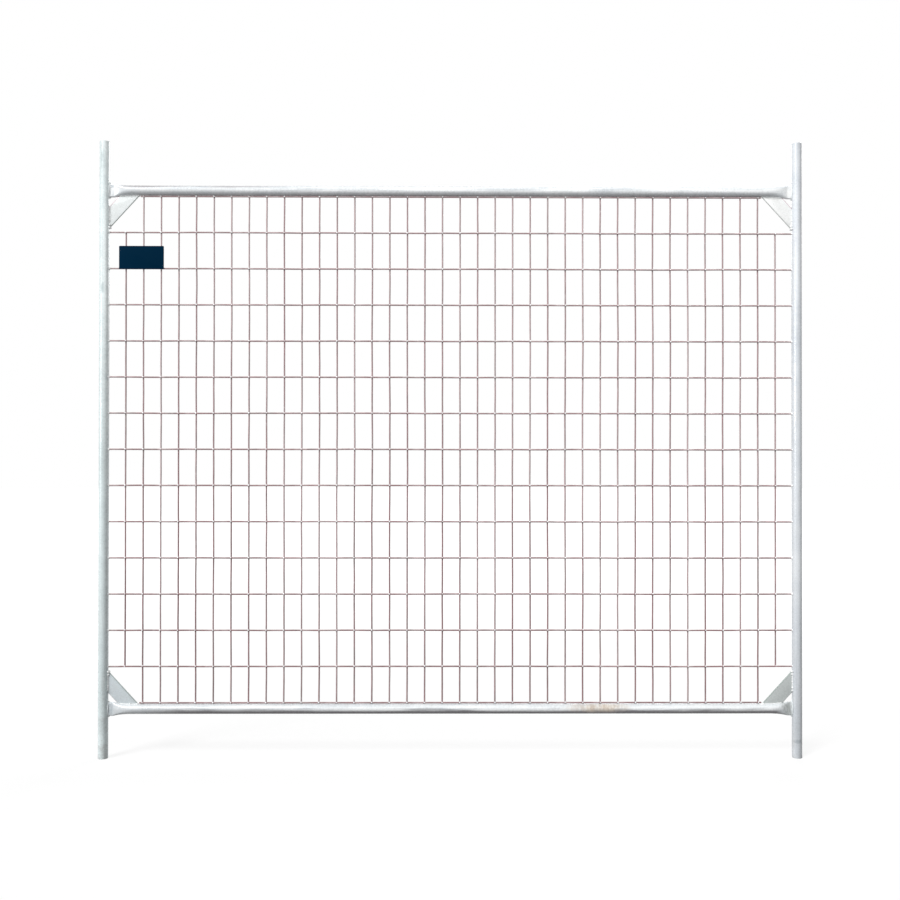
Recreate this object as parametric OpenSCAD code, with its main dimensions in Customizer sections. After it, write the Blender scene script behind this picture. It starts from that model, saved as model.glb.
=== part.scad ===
// Temporary fence panel: a welded tube frame with crushed rail ends, corner gussets and a wire mesh.
// The origin is on the ground at the middle of the panel, X runs along the width, -Y is the front.

/* [Frame] */
// Overall width across the posts
panel_w = 2400; // [1800:10:3000]
// Overall height of the posts
panel_h = 2100; // [1500:10:2500]
// Length of post left free above the top rail and below the bottom rail
stub_len = 150; // [100:5:250]
// Outside diameter of the posts
post_d = 33.7; // [26:0.1:48]
// Outside diameter of the rails
rail_d = 33.7; // [26:0.1:48]
// Wall thickness of the posts and rails
tube_wall = 2; // [1.5:0.1:3]

/* [Crushed rail ends] */
// Gap left between the two walls of a crushed rail end
crush_gap = 2; // [1:0.5:5]
// Length of the flat part of a crushed rail end
crush_flat = 10; // [5:1:50]
// Length over which a crushed rail end rounds out to the full tube
crush_taper = 45; // [30:1:90]

/* [Gussets] */
// Width of the flat bar
gusset_bar_w = 50; // [30:1:60]
// Thickness of the flat bar
gusset_t = 6; // [4:0.5:8]
// Distance from the post at which a gusset's long edge meets the rail
gusset_rail_reach = 103; // [80:1:130]
// Distance from the rail at which a gusset's long edge meets the post
gusset_post_reach = 113; // [80:1:130]

/* [Mesh] */
// Diameter of the mesh wires
wire_d = 5; // [3:0.5:6]
// Distance between vertical wires
column_pitch = 60; // [50:1:100]
// Distance between horizontal wires
row_pitch = 123.2; // [80:0.1:200]
// Gap between the top rail and the highest horizontal wire
top_wire_gap = 1; // [0.5:0.5:10]
// Number of vertical wires next to each post that stop at the second horizontal wire
short_columns = 1; // [0:1:3]
// Length by which the highest and lowest wires run past the last vertical wire that reaches the rails
edge_overhang = 10; // [4:1:15]

/* [Sign] */
// Width of the sign plate
sign_w = 152; // [120:1:300]
// Height of the sign plate
sign_h = 79; // [60:1:110]
// Thickness of the sign plate
sign_t = 2.5; // [1.5:0.5:5]
// Corner radius of the sign plate
sign_corner_r = 3; // [1:0.5:8]
// Distance from the left post to the sign plate
sign_from_post = 35; // [20:1:300]
// Horizontal wire, counted from the top, that the lower edge of the sign covers
sign_row = 3; // [3:1:9]
// Height of each wire clip on the back of the sign
clip_h = 12; // [6:1:16]
// Wall thickness of the wire clips
clip_wall = 1.8; // [1:0.2:3]
// Amount by which the mouth of the wire clips is narrower than the wire
clip_grip = 1; // [0.5:0.5:2]
// Distance from the upper and lower edges of the sign to its clips
clip_inset = 14; // [10:1:16]

/* [Welds and fits] */
// Radius of the weld beads
weld_r = 2.5; // [1.5:0.5:3.5]
// Gap left between two pieces that are welded or clipped together
fit_gap = 0.2; // [0.1:0.1:0.4]

/* [Hidden] */
$fn = 64;
steel_color = "#ccd2d5";
plate_color = "#c3c9cc";
wire_color = "#b4babd";
weld_color = "#dde1e3";
sign_color = "#00263f";

// Frame
post_r = post_d / 2;
rail_r = rail_d / 2;
post_x = panel_w / 2 - post_r;
inner_x = panel_w / 2 - post_d;
bottom_rail_z = stub_len + rail_r;
top_rail_z = panel_h - stub_len - rail_r;
clear_h = top_rail_z - bottom_rail_z - rail_d;
past_end = 1;

// Crushed rail ends: u is the distance from the face of the post along the rail
crush_half_t = tube_wall + crush_gap / 2;
crush_len = crush_flat + crush_taper;
taper_steps = 8;
ring_sides = 24;
// The facets of an end stay this far inside the wall of the round tube that they run into
seam_step = 0.05;
seam_len = 2;
bore_swell = (rail_r - tube_wall) / cos(180 / ring_sides) - (rail_r - tube_wall) + seam_step;

// Mesh
wire_r = wire_d / 2;
crossing_gap = fit_gap / 2;
wire_y = wire_r + crossing_gap / 2;
columns = floor(2 * inner_x / column_pitch);
column_pairs = ceil(columns / 2);
top_row_z = top_rail_z - rail_r - top_wire_gap - wire_r;
rows = 1 + floor((clear_h - top_wire_gap - wire_d) / row_pitch);

// Sign
sign_back_y = -(wire_y + wire_r + fit_gap);
sign_left_x = sign_from_post - inner_x;
sign_bottom_z = row_z(sign_row) - wire_r;
clip_r = wire_r + fit_gap + clip_wall;
clip_mouth = wire_d - clip_grip;

// Gussets
gusset_steps = 24;
gusset_slope = gusset_post_reach / gusset_rail_reach;
gusset_drop = gusset_bar_w * norm([gusset_rail_reach, gusset_post_reach]) / gusset_rail_reach;
// Distance from the post at which a gusset's short edge reaches the rail
gusset_near_u = gusset_rail_reach - gusset_drop / gusset_slope;

// Weld beads
bead_sides = 8;
bead_steps = 10;
bead_offset = weld_r + fit_gap;
gusset_bead_y = gusset_t / 2 + bead_offset;

function two_digits(i) = i < 10 ? str("0", i) : str(i);
function row_name(i) = str("horizontal_wire_", two_digits(i));
function column_pair_name(i) = str("vertical_wire_pair_", two_digits(i));

// Rows count from the top and columns from the left, both from 1
function row_z(i) = top_row_z - (i - 1) * row_pitch;
function column_x(i) = (i - (columns + 1) / 2) * column_pitch;

// Distance from the axis of a wire to the nearest rail or post beside it
function row_to_rail(i) = min(top_rail_z - row_z(i), row_z(i) - bottom_rail_z) - rail_r;
function column_to_post(i) = inner_x - abs(column_x(i));

// Distance from the post, or from the rail, at which a wire stops: there, or on a gusset in its way
function row_stop(i) =
    fit_gap + max(0, gusset_rail_reach * (1 - (row_to_rail(i) - wire_r) / gusset_post_reach));
function column_stop(i) =
    fit_gap + max(0, gusset_post_reach * (1 - (column_to_post(i) - wire_r) / gusset_rail_reach));

// The corners of the mesh stay open: the edge rows and the outer columns stop short of them
function row_is_edge(i) = i == 1 || i == rows;
function column_is_short(i) = min(i, columns + 1 - i) <= short_columns;
function edge_row_stop() = column_to_post(short_columns + 1) - edge_overhang;

// Shape of a rail end at distance u from the post: 0 is crushed flat and 1 is round
function ease(t) = t * t * (3 - 2 * t);
function roundness(u) = ease(min(max((u - crush_flat) / crush_taper, 0), 1));
function end_half_t(u) = crush_half_t + (rail_r - crush_half_t) * roundness(u);
// The girth of the tube stays the same, so what an end loses in thickness it gains in height
function end_half_flat(u) = (rail_r - end_half_t(u)) * PI / 2;
function end_half_h(u) = end_half_flat(u) + end_half_t(u);

// Outline of an obround across the rail, as [y, z] points, with its flats upright
function obround(half_t, half_flat) = [
    for (i = [0 : ring_sides - 1])
        let (a = (i + 0.5) * 360 / ring_sides)
        [half_t * cos(a), half_t * sin(a) + sign(sin(a)) * half_flat]
];

// The same outline as a ring of points at distance u from the post
function end_ring(u, swell) = [
    for (p = obround(end_half_t(u) + swell, end_half_flat(u))) [u, p[0], p[1]]
];

// Triangles that join the points of two rings, given the index of each ring's first point
function strip(from, to, n) = [
    for (i = [0 : n - 1])
        let (j = (i + 1) % n)
        each [[from + i, to + j, from + j], [from + i, to + i, to + j]]
];

// A solid skinned over closed rings of points, each joined to the next and the last to the first
module ring_loop(rings) {
    n = len(rings[0]);
    count = len(rings);
    polyhedron(
        points = [for (ring = rings) each ring],
        faces = [for (k = [0 : count - 1]) each strip(k * n, ((k + 1) % count) * n, n)]
    );
}

function unit(v) = v / norm(v);

// Ring of points round one point of a bead's path, square to the path there
function bead_ring(at, along, outward) =
    let (side = unit(cross(along, outward)), out = unit(cross(side, along)))
    [for (i = [0 : bead_sides - 1])
        let (a = i * 360 / bead_sides)
        at + weld_r * (cos(a) * out + sin(a) * side)];

// Weld bead that runs round a closed path
module closed_bead(path, outward) {
    n = len(path);
    ring_loop([
        for (i = [0 : n - 1])
            bead_ring(path[i], path[(i + 1) % n] - path[(i + n - 1) % n], outward[i])
    ]);
}

// Weld bead that runs along an open path
module open_bead(path, outward) {
    n = len(path);
    rings = [
        for (i = [0 : n - 1])
            bead_ring(path[i], path[min(i + 1, n - 1)] - path[max(i - 1, 0)], outward)
    ];
    s = bead_sides;
    polyhedron(
        points = [for (ring = rings) each ring],
        faces = concat(
            [[for (i = [0 : s - 1]) i]],
            [for (k = [0 : n - 2]) each strip(k * s, (k + 1) * s, s)],
            [[for (i = [s - 1 : -1 : 0]) (n - 1) * s + i]]
        )
    );
}

// Tube along Z
module tube(d, length) {
    difference() {
        cylinder(d = d, h = length);
        translate([0, 0, -past_end])
            cylinder(d = d - 2 * tube_wall, h = length + 2 * past_end);
    }
}

module post(side) {
    color(steel_color)
        translate([side * post_x, 0, 0])
            tube(post_d, panel_h);
}

// Crushed end of a rail, from inside the post to inside the round stretch of the rail
module crushed_end() {
    tapers = [for (k = [0 : taper_steps]) crush_flat + crush_taper * k / taper_steps];
    outer = concat([end_ring(-post_r, 0)], [for (u = tapers) end_ring(u, -seam_step * roundness(u))]);
    inner = concat(
        [end_ring(-post_r, -tube_wall)],
        [for (u = tapers) end_ring(u, bore_swell * roundness(u) - tube_wall)]
    );
    outer_tail = end_ring(crush_len + seam_len, -seam_step);
    inner_tail = end_ring(crush_len + seam_len, bore_swell - tube_wall);
    back = [for (i = [len(inner) - 1 : -1 : 0]) inner[i]];
    ring_loop(concat(outer, [outer_tail, inner_tail], back));
}

module rail(z) {
    color(steel_color)
        translate([0, 0, z])
            difference() {
                union() {
                    translate([crush_len - inner_x, 0, 0])
                        rotate([0, 90, 0])
                            tube(rail_d, 2 * (inner_x - crush_len));
                    for (side = [0, 1])
                        mirror([side, 0, 0])
                            translate([-inner_x, 0, 0])
                                crushed_end();
                }
                for (side = [-1, 1])
                    translate([side * post_x, 0, -rail_d])
                        cylinder(r = post_r + fit_gap, h = 2 * rail_d);
            }
}

// Places what is drawn at a lower left corner: X from the face of the post, Z from the axis of the rail
module at_corner(right, top) {
    translate([0, 0, top ? top_rail_z : bottom_rail_z])
        mirror([right ? 1 : 0, 0, 0])
            mirror([0, 0, top ? 1 : 0])
                translate([-inner_x, 0, 0])
                    children();
}

module at_each_corner() {
    for (right = [false, true])
        for (top = [false, true])
            at_corner(right, top)
                children();
}

// Height over the axis of the rail of a gusset's edge, at distance u from the post
function gusset_long_edge(u) = rail_r + gusset_post_reach - gusset_slope * u;
function gusset_short_edge(u) = gusset_long_edge(u) - gusset_drop;

module gusset(right, top) {
    foot_u = gusset_rail_reach + rail_r / gusset_slope;
    heel_u = foot_u - gusset_drop / gusset_slope;
    rail_line = [
        for (k = [0 : gusset_steps])
            let (u = foot_u * k / gusset_steps)
            [u, end_half_h(u) + fit_gap]
    ];
    color(plate_color)
        at_corner(right, top)
            rotate([90, 0, 0])
                linear_extrude(height = gusset_t, center = true)
                    difference() {
                        polygon([
                            [fit_gap, gusset_long_edge(fit_gap)],
                            [fit_gap, gusset_short_edge(fit_gap)],
                            [heel_u, 0],
                            [foot_u, 0],
                        ]);
                        polygon(concat([[0, -past_end]], rail_line, [[foot_u, -past_end]]));
                    }
}

// Weld run round each crushed rail end, in the corner between the end and the post
module rail_welds() {
    outline = obround(crush_half_t + bead_offset, end_half_flat(0));
    path = [
        for (p = outline)
            [sqrt(pow(post_r + bead_offset, 2) - pow(p[0], 2)) - post_r, p[0], p[1]]
    ];
    outward = [
        for (i = [0 : ring_sides - 1])
            let (a = (i + 0.5) * 360 / ring_sides)
            [0, cos(a), sin(a)]
    ];
    color(weld_color)
        at_each_corner()
            closed_bead(path, outward);
}

// Weld runs along both cut edges of each gusset, on its front and its back
module gusset_welds() {
    post_bead_x = sqrt(pow(post_r + bead_offset, 2) - pow(gusset_bead_y, 2)) - post_r;
    low_z = gusset_short_edge(0) + weld_r;
    high_z = gusset_long_edge(0) - 2 * weld_r;
    near_u = gusset_near_u + weld_r;
    far_u = gusset_rail_reach - 2 * weld_r;
    color(weld_color)
        at_each_corner()
            for (face = [-1, 1]) {
                translate([post_bead_x, face * gusset_bead_y, low_z])
                    cylinder(r = weld_r, h = high_z - low_z);
                open_bead(
                    [
                        for (k = [0 : bead_steps])
                            let (u = near_u + (far_u - near_u) * k / bead_steps)
                            let (reach = end_half_t(u) + bead_offset)
                            let (rise = sqrt(max(0, pow(reach, 2) - pow(gusset_bead_y, 2))))
                            [u, face * gusset_bead_y, end_half_flat(u) + rise]
                    ],
                    [0, 0, 1]
                );
            }
}

module horizontal_wire(i) {
    half = inner_x - max(row_stop(i), row_is_edge(i) ? edge_row_stop() : 0);
    color(wire_color)
        translate([-half, -wire_y, row_z(i)])
            rotate([0, 90, 0])
                cylinder(d = wire_d, h = 2 * half);
}

module vertical_wire(i) {
    short = column_is_short(i);
    stop = rail_r + column_stop(i);
    low_z = short ? row_z(rows - 1) - wire_r : bottom_rail_z + stop;
    high_z = short ? row_z(2) + wire_r : top_rail_z - stop;
    color(wire_color)
        translate([column_x(i), wire_y, low_z])
            cylinder(d = wire_d, h = high_z - low_z);
}

// The same column counted from each side, which is one wire where both are the middle one
module vertical_wire_pair(i) {
    vertical_wire(i);
    if (columns + 1 - i != i)
        vertical_wire(columns + 1 - i);
}

module rounded_rectangle(w, h, r) {
    translate([r, 0])
        square([w - 2 * r, h]);
    translate([0, r])
        square([w, h - 2 * r]);
    for (x = [r, w - r])
        for (y = [r, h - r])
            translate([x, y])
                circle(r);
}

// Clip on the back of the sign, round a vertical wire at the origin, with its mouth to the back
module wire_clip() {
    stem = wire_y - sign_back_y;
    linear_extrude(height = clip_h)
        difference() {
            union() {
                circle(clip_r);
                translate([-clip_r, -stem])
                    square([2 * clip_r, stem]);
            }
            circle(wire_r + fit_gap);
            translate([-clip_mouth / 2, 0])
                square([clip_mouth, clip_r + past_end]);
        }
}

module sign_plate() {
    color(sign_color) {
        translate([sign_left_x, sign_back_y, sign_bottom_z])
            rotate([90, 0, 0])
                linear_extrude(height = sign_t)
                    rounded_rectangle(sign_w, sign_h, sign_corner_r);
        for (i = [1 : columns])
            if (column_x(i) - clip_r > sign_left_x && column_x(i) + clip_r < sign_left_x + sign_w)
                for (z = [clip_inset, sign_h - clip_inset - clip_h])
                    translate([column_x(i), wire_y, sign_bottom_z + z])
                        wire_clip();
    }
}

post(-1);  // left_post
post(1);  // right_post
rail(top_rail_z);  // top_rail
rail(bottom_rail_z);  // bottom_rail
gusset(false, true);  // top_left_gusset
gusset(true, true);  // top_right_gusset
gusset(false, false);  // bottom_left_gusset
gusset(true, false);  // bottom_right_gusset
rail_welds();
gusset_welds();
sign_plate();
for (i = [1 : rows])
    horizontal_wire(i);
for (i = [1 : column_pairs])
    vertical_wire_pair(i);
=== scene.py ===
"""Looks of a temporary fence panel: galvanised tubes, flat bar gussets, wire mesh, welds, a bare sign."""
import math
import random

import bmesh
import bpy
from mathutils import Euler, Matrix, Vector, noise


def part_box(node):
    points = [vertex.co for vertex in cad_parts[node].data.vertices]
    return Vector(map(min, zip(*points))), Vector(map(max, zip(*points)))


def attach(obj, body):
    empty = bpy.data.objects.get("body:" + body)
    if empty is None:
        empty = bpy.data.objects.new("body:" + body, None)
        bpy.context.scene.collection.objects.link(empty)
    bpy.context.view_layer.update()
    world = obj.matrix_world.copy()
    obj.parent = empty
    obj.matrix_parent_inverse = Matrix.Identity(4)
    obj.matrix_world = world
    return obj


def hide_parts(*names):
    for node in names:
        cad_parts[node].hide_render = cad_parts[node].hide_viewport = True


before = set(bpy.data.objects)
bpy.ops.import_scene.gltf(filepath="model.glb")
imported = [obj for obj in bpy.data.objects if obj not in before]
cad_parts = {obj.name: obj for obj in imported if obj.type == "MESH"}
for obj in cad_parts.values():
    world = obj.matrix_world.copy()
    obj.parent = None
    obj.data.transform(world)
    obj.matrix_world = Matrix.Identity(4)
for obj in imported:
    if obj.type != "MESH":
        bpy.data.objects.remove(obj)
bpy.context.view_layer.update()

MM = 0.001
BODY = "root"

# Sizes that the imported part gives, in metres
post_low, post_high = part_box("left_post")
POST_R = (post_high.x - post_low.x) / 2
POST_X = -post_low.x - POST_R
INNER_X = -post_high.x
PANEL_H = post_high.z
rail_low, rail_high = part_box("bottom_rail")
top_low, top_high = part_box("top_rail")
RAIL_R = rail_high.y
RAIL_Z = {"bottom": (rail_low.z + rail_high.z) / 2, "top": (top_low.z + top_high.z) / 2}
gusset_low, gusset_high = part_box("bottom_left_gusset")
GUSSET_T = gusset_high.y - gusset_low.y
ROWS = 15
PAIRS = 19
row_low, row_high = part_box("horizontal_wire_02")
WIRE_R = (row_high.z - row_low.z) / 2
sign_low, sign_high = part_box("sign_plate")

# Sizes inside the nodes, the same as the part's own driving sizes
TUBE_WALL = 2.0 * MM
GUSSET_BAR = 50.0 * MM
GUSSET_RAIL_REACH = 103.0 * MM
GUSSET_POST_REACH = 113.0 * MM
FIT_GAP = 0.2 * MM
SIGN_T = 2.5 * MM
SIGN_CORNER = 3.0 * MM
CLIP_H = 12.0 * MM
CLIP_WALL = 1.8 * MM
CLIP_MOUTH = 4.0 * MM
CLIP_INSET = 14.0 * MM

# Crushed rail ends: they swell from a crease and ease out further along the tube than in the solids
CRUSH_FLAT = 17.0 * MM
CRUSH_TAPER = 70.0 * MM
CRUSH_HALF_T = 5.0 * MM
CRUSH_SWELL = 2.5

# Workmanship: how far the zinc, the welds and the mesh stray from a perfect shape
RIM_ROUND = 0.7 * MM
EDGE_ROUND = 1.8 * MM
SIGN_EDGE_ROUND = 0.35 * MM
EDGE_STEPS = 3
SWAY = Vector((1.3, 1.2, 1.0)) * MM
SWAY_PER_M = 2.6
SWAY_FADE = 120.0 * MM
BOW = 0.7 * MM
BOW_PER_M = 11.0
WIRE_STEP = 12.0 * MM
WIRE_TIP_SHOULDER = 0.08
WIRE_TIP_TAPER = 0.6
ZINC_COAT = 0.15 * MM
ZINC_UNEVEN = 0.05
ZINC_UNEVEN_PER_M = 60.0

# Weld beads: their sizes, and the shares by which a bead's radius ripples, wanders and fades at its ends
BEAD_STEP = 0.9 * MM
BEAD_PITCH = 4.6 * MM
BEAD_SINK = 0.8 * MM
BEAD_LEAST = 0.90
BEAD_RIPPLE = 0.16
BEAD_UNEVEN = 0.22
BEAD_UNEVEN_PER_M = 95.0
BEAD_FADE = 1.6
BEAD_BLUNT = 0.25
END_BEAD_R = 2.3 * MM
END_BEAD_SQUARE = 0.4
RUN_BEAD_R = 1.5 * MM
RUN_OFFSET = RUN_BEAD_R - BEAD_SINK

# Lumps of weld metal: their half sizes, how uneven they are, and the spread of their sizes and spacing
LUMP_ROUGH = 0.22
LUMP_GRAIN = 1.6
RUN_LUMP_R = 3.1 * MM
RUN_LUMP_SPREAD = (0.7, 1.15)
RUN_GAP_SPREAD = (0.6, 1.4)
POST_RUN_GAP = 11.0 * MM
RAIL_RUN_GAP = 30.0 * MM
END_LUMP = Vector((4.2, 3.6, 4.2)) * MM
END_LUMP_OUT = 1.2 * MM
NUGGET = Vector((1.25, 1.3, 1.25)) * WIRE_R
NUGGET_SPREAD = (0.85, 1.15)
DROP = Vector((0.95, 0.6, 0.95)) * WIRE_R
DROP_PLACE = Vector((0.0, -0.75, 0.3)) * WIRE_R
DROP_SPREAD = (0.75, 1.2)
TACK = Vector((1.7, 1.5, 1.7)) * WIRE_R
TACK_SPREAD = (0.8, 1.25)

# Larger lumps near the tip of each gusset's post run: how far down it each lies, and how much it is swollen
TIP_LUMP = Vector((1.1, 1.0, 0.9)) * RUN_LUMP_R
TIP_LUMPS = ((0.0, 1.35), (9.0 * MM, 1.15))
TIP_PROUD = 1.2 * MM

# A wire's end this close to a post or a rail is tacked to it
TOUCH = 3.0 * MM

# Seeds for all that is uneven
SEED = 7
SEED_SPAN = (0, 90)
SEED_STEP = 3.1
LEFT_WIRE_SEED = 40
RIGHT_WIRE_SEED = 90
dice = random.Random(SEED)
noise.seed_set(SEED)


# Small helpers for meshes


def ease(t):
    """A smooth step from 0 to 1."""
    t = min(1.0, max(0.0, t))
    return t * t * (3 - 2 * t)


def unit_ball():
    """Points and faces of a ball of radius 1, used for weld lumps."""
    ball = bmesh.new()
    bmesh.ops.create_icosphere(ball, subdivisions=2, radius=1.0)
    points = [v.co.copy() for v in ball.verts]
    faces = [tuple(v.index for v in f.verts) for f in ball.faces]
    ball.free()
    return points, faces


BALL_POINTS, BALL_FACES = unit_ball()


class Shape:
    """Points and faces of one piece, gathered part by part."""

    def __init__(self):
        self.points = []
        self.faces = []

    def ring(self, points):
        """Adds points and returns their numbers."""
        start = len(self.points)
        self.points.extend(points)
        return list(range(start, len(self.points)))

    def bridge(self, a, b):
        """Joins two rings of equal length with a band of faces."""
        count = len(a)
        for i in range(count):
            j = (i + 1) % count
            self.faces.append((a[i], a[j], b[j], b[i]))

    def loft(self, outlines, closed=False):
        """Skins a list of outlines, capped at both ends or joined into a loop."""
        rings = [self.ring(outline) for outline in outlines]
        for a, b in zip(rings, rings[1:]):
            self.bridge(a, b)
        if closed:
            self.bridge(rings[-1], rings[0])
        else:
            self.faces.append(tuple(rings[0]))
            self.faces.append(tuple(reversed(rings[-1])))

    def sweep(self, path, radii, sides, closed=False):
        """A round tube along a path, with one radius for each of its points."""
        count = len(path)
        outlines = []
        for i, centre in enumerate(path):
            after = path[(i + 1) % count] if closed else path[min(i + 1, count - 1)]
            before = path[i - 1] if closed else path[max(i - 1, 0)]
            along = (after - before).normalized()
            guide = Vector((0, 1, 0)) if abs(along.y) < 0.8 else Vector((0, 0, 1))
            across = along.cross(guide).normalized()
            up = across.cross(along)
            turns = [2 * math.pi * k / sides for k in range(sides)]
            spokes = [across * math.cos(t) + up * math.sin(t) for t in turns]
            outlines.append([centre + spoke * radii[i] for spoke in spokes])
        self.loft(outlines, closed)

    def lump(self, centre, size):
        """An uneven drop of weld metal."""
        seed = Vector((dice.uniform(*SEED_SPAN), dice.uniform(*SEED_SPAN), dice.uniform(*SEED_SPAN)))
        start = len(self.points)
        for p in BALL_POINTS:
            swell = 1 + LUMP_ROUGH * noise.noise(p * LUMP_GRAIN + seed)
            self.points.append(centre + Vector(a * b for a, b in zip(p, size)) * swell)
        self.faces.extend(tuple(start + i for i in face) for face in BALL_FACES)

    def plate(self, outline, place, thickness):
        """A flat outline of (a, b) points extruded both ways, put in place by place(a, depth, b)."""
        sides = [[place(a, depth, b) for a, b in outline] for depth in (-thickness / 2, thickness / 2)]
        self.loft(sides)


def make_piece(name, shape, material, nodes=(), sharp_deg=38.0, bevel=0.0):
    """Turns a shape into a Blender object that rides on the part and stands for its CAD nodes."""
    mesh = bpy.data.meshes.new(name)
    mesh.from_pydata([tuple(p) for p in shape.points], [], shape.faces)
    work = bmesh.new()
    work.from_mesh(mesh)
    bmesh.ops.recalc_face_normals(work, faces=work.faces)
    if bevel:
        sharp = [e for e in work.edges if e.calc_face_angle(0.0) > math.radians(sharp_deg)]
        bmesh.ops.bevel(
            work,
            geom=sharp,
            offset=bevel,
            segments=EDGE_STEPS,
            profile=0.5,
            affect="EDGES",
            clamp_overlap=True,
        )
    work.to_mesh(mesh)
    work.free()
    mesh.shade_smooth()
    mesh.set_sharp_from_angle(angle=math.radians(sharp_deg))
    mesh.materials.append(material)
    piece = bpy.data.objects.new(name, mesh)
    bpy.context.scene.collection.objects.link(piece)
    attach(piece, BODY)
    if nodes:
        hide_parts(*nodes)
    return piece


# Materials


class Shader:
    """A material put together by short calls, each of which adds a node and returns its output."""

    def __init__(self, name):
        self.material = bpy.data.materials.new(name)
        self.material.use_nodes = True
        self.tree = self.material.node_tree
        self.surface = self.tree.nodes["Principled BSDF"]
        self.where = self.add("ShaderNodeTexCoord", "Object", {})

    def plug(self, socket, value):
        """Links an output to a socket, or sets the socket to a constant."""
        if isinstance(value, bpy.types.NodeSocket):
            self.tree.links.new(value, socket)
        else:
            socket.default_value = value

    def add(self, kind, output, inputs, **settings):
        """Adds any node, with its inputs and settings."""
        node = self.tree.nodes.new(kind)
        for key, value in settings.items():
            setattr(node, key, value)
        for key, value in inputs.items():
            self.plug(node.inputs[key], value)
        return node.outputs[output]

    def set(self, **sockets):
        """Sets sockets of the surface, with underscores for the spaces in their names."""
        for key, value in sockets.items():
            self.plug(self.surface.inputs[key.replace("_", " ")], value)

    def vector(self, operation, a, b, output="Vector"):
        return self.add("ShaderNodeVectorMath", output, {0: a, 1: b}, operation=operation)

    def length(self, vector):
        return self.add("ShaderNodeVectorMath", "Value", {0: vector}, operation="LENGTH")

    def stretched(self, scale):
        """The place on the part, scaled along each axis."""
        return self.vector("MULTIPLY", self.where, scale)

    def noise(self, scale, detail=4.0, roughness=0.55, where=None):
        place = where or self.where
        inputs = {"Vector": place, "Scale": scale, "Detail": detail, "Roughness": roughness}
        return self.add("ShaderNodeTexNoise", "Fac", inputs)

    def cells(self, scale):
        """A random grey for each crystal of the zinc."""
        colour = self.add("ShaderNodeTexVoronoi", "Color", {"Vector": self.where, "Scale": scale})
        return self.add("ShaderNodeRGBToBW", "Val", {"Color": colour})

    def remap(self, value, low, high, to_low=0.0, to_high=1.0):
        inputs = {"Value": value, "From Min": low, "From Max": high, "To Min": to_low, "To Max": to_high}
        return self.add("ShaderNodeMapRange", "Result", inputs)

    def math(self, operation, a, b):
        return self.add("ShaderNodeMath", "Value", {0: a, 1: b}, operation=operation)

    def axis(self, letter):
        return self.add("ShaderNodeSeparateXYZ", letter, {"Vector": self.where})

    def mix(self, share, a, b):
        node = self.tree.nodes.new("ShaderNodeMix")
        node.data_type = "RGBA"
        sockets = {socket.identifier: socket for socket in node.inputs}
        self.plug(sockets["Factor_Float"], share)
        self.plug(sockets["A_Color"], a)
        self.plug(sockets["B_Color"], b)
        return next(socket for socket in node.outputs if socket.identifier == "Result_Color")

    def local(self, centre, reach):
        """1 round one place on the part, 0 beyond the given reach along each axis."""
        offset = self.vector("SUBTRACT", self.where, centre)
        distance = self.length(self.vector("DIVIDE", offset, reach))
        return self.remap(distance, 1.0, MARK_CORE)

    def bump(self, height, distance, strength=1.0, under=None):
        inputs = {"Height": height, "Distance": distance, "Strength": strength}
        if under:
            inputs["Normal"] = under
        return self.add("ShaderNodeBump", "Normal", inputs)


def painted_underside_shade(look, colour, underside_shades, streak_scale):
    """Painted shade on the undersides of rails, standing for their shaded, darkly reflecting lower side,
    with a ragged upper limit.

    Each shaded rail is the height of its axis, a share, and how far from each post its painted shade is
    full."""
    for axis_z, share, from_left, from_right in underside_shades:
        strokes = look.noise(1.0, 3.0, 0.6, look.stretched(streak_scale))
        ragged = look.remap(strokes, 0.35, 0.65, -UNDERSIDE_SHADE_SWAY, UNDERSIDE_SHADE_SWAY)
        height = look.math("ADD", look.axis("Z"), ragged)
        under = look.remap(height, *(axis_z + limit for limit in UNDERSIDE_SHADE_UPPER))
        near = look.remap(height, *(axis_z + limit for limit in UNDERSIDE_SHADE_LOWER))
        past_left = look.remap(look.axis("X"), UNDERSIDE_SHADE_FREE - INNER_X, from_left - INNER_X)
        past_right = look.remap(look.axis("X"), INNER_X - UNDERSIDE_SHADE_FREE, INNER_X - from_right)
        along = look.math("MULTIPLY", past_left, past_right)
        cover = look.math("MULTIPLY", look.math("MULTIPLY", under, near), along)
        colour = look.mix(look.math("MULTIPLY", cover, share), colour, UNDERSIDE_SHADE)
    return colour


def marked(look, colour, marks):
    """Broken patches, each a place, its reach, the scale of its strokes, a tint and a share."""
    for centre, reach, strokes, tint, share in marks:
        shape = look.remap(look.noise(1.0, 4.0, 0.6, look.stretched(strokes)), 0.38, 0.58)
        cover = look.math("MULTIPLY", look.local(centre, reach), shape)
        colour = look.mix(look.math("MULTIPLY", cover, share), colour, tint)
    return colour


def darker_edge_lines(look, colour, edges):
    """Thin darker lines painted along edges, each the direction from an edge into the bar, its place along
    that, a tint, a share.
    """
    for inward, start, tint, share in edges:
        place = look.vector("DOT_PRODUCT", look.where, inward, "Value")
        near = look.remap(look.math("SUBTRACT", place, start), EDGE_LINE, EDGE_LINE / 2, 0.0, share)
        colour = look.mix(near, colour, tint)
    return colour


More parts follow.
